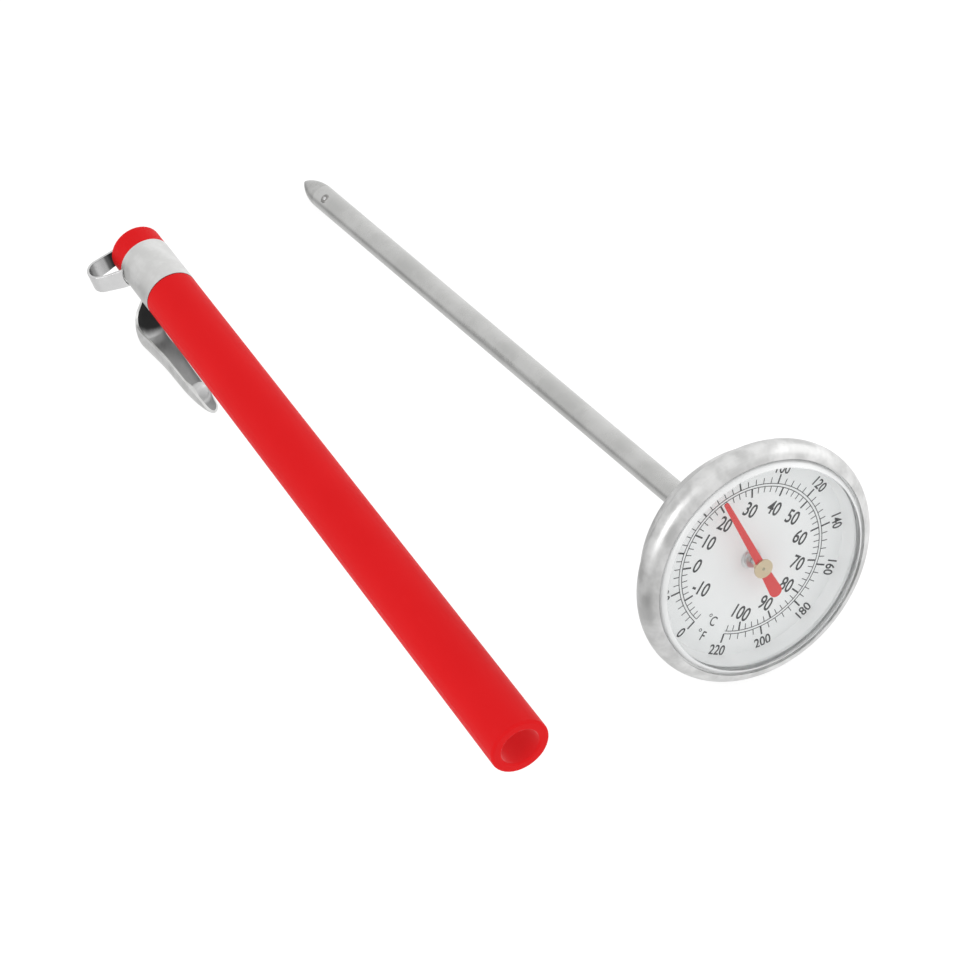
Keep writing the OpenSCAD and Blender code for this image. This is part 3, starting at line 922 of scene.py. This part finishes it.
def make_rivet(material):
    """The spindle's riveted end, proud of the pointer's hub."""
    profile = [
        (0.0, 3.6), (0.26, 3.6), (0.26, 3.65), (0.23, 3.68), (0.17, 3.70), (0.09, 3.71), (0.0, 3.712),
    ]
    mesh = turned("spindle_rivet", profile, 32)
    piece("spindle_rivet", mesh, PROBE, material, body_with("pointer_hub"))


# ---------------------------------------------------------------- the whole scene

def finish_thermometer(bright):
    """Materials for the CAD nodes of the head, the movement and the stem."""
    case_steel = steel(
        "case_steel", PROBE, (0.56, 0.56, 0.555), (0.86, 0.86, 0.855), (0.27, 0.38), blotch=0.24
    )
    stem_steel = steel(
        "stem_steel", PROBE, (0.56, 0.56, 0.55), (0.70, 0.70, 0.69), (0.18, 0.27), blotch=0.13
    )
    tip_steel = steel("tip_steel", PROBE, (0.46, 0.46, 0.45), (0.64, 0.64, 0.63), (0.2, 0.3), blotch=0.3)
    turned_brass = brass("turned_brass", (0.62, 0.46, 0.22), (0.76, 0.60, 0.32), (0.25, 0.35))
    give(case_steel, "case_cup", "bezel_ring")
    give(stem_steel, "stem_tube", "stem_hub", "calibration_nut")
    give(tip_steel, "stem_tip")
    give(bright, "friction_washer", "spindle", "upper_guide_bush")
    give(turned_brass, "lower_guide_bush", "helix_anchor")
    give(brass("hub_brass", (0.62, 0.50, 0.33), (0.72, 0.61, 0.43), (0.40, 0.5)), "pointer_hub")
    give(steel("bimetal", PROBE, (0.52, 0.44, 0.34), (0.66, 0.58, 0.48), (0.3, 0.4)), "bimetal_helix")
    give(painted("pointer_red", (0.62, 0.022, 0.024), (0.70, 0.034, 0.034), 0.38), "pointer")
    give(painted("dial_white", (0.84, 0.845, 0.845), (0.88, 0.88, 0.88), 0.45), "dial_plate")
    give(painted("spacer_white", (0.84, 0.845, 0.845), (0.88, 0.88, 0.88), 0.5), "spacer_ring")
    give(painted("seal", (0.78, 0.78, 0.78), (0.84, 0.84, 0.84), 0.6), "lens_gasket")
    give(clear_window(), "lens")
    NODES["lens"].visible_shadow = False


def finish_sheath(band, chrome):
    """Materials for the CAD nodes of the sheath, whose tube shows in no reflection and bounces no light."""
    give(moulded_red(), "sheath_tube")
    NODES["sheath_tube"].visible_glossy = False
    NODES["sheath_tube"].visible_diffuse = False
    give(band, "clip_band")
    give(chrome, "clip_loop", "clip_blade")


def build():
    bpy.context.scene.view_settings.view_transform = "Standard"
    make_camera()
    make_floor()
    make_lights()

    bright = steel("bright_steel", PROBE, (0.66, 0.66, 0.66), (0.82, 0.82, 0.82), (0.3, 0.4))
    band = steel("clip_satin", SHEATH, (0.70, 0.70, 0.69), (0.84, 0.84, 0.835), (0.42, 0.55), blotch=0.3)
    chrome = polished("clip_chrome", (0.66, 0.66, 0.66), (0.82, 0.82, 0.82), (0.12, 0.22))
    finish_thermometer(bright)
    finish_sheath(band, chrome)

    make_printing(painted("scale_ink", (0.022, 0.022, 0.024), (0.04, 0.04, 0.042), 0.4))
    make_blade([band, blade_inside()])
    make_loop([chrome, loop_inside()])
    tinted = steel("weld_tint", PROBE, (0.28, 0.275, 0.27), (0.44, 0.43, 0.42), (0.3, 0.4), blotch=1.0)
    make_weld_mark(tinted, bright)
    make_eyelet(bright)
    make_rivet(brass("rivet_brass", (0.34, 0.30, 0.20), (0.45, 0.40, 0.27), (0.3, 0.4)))


build()
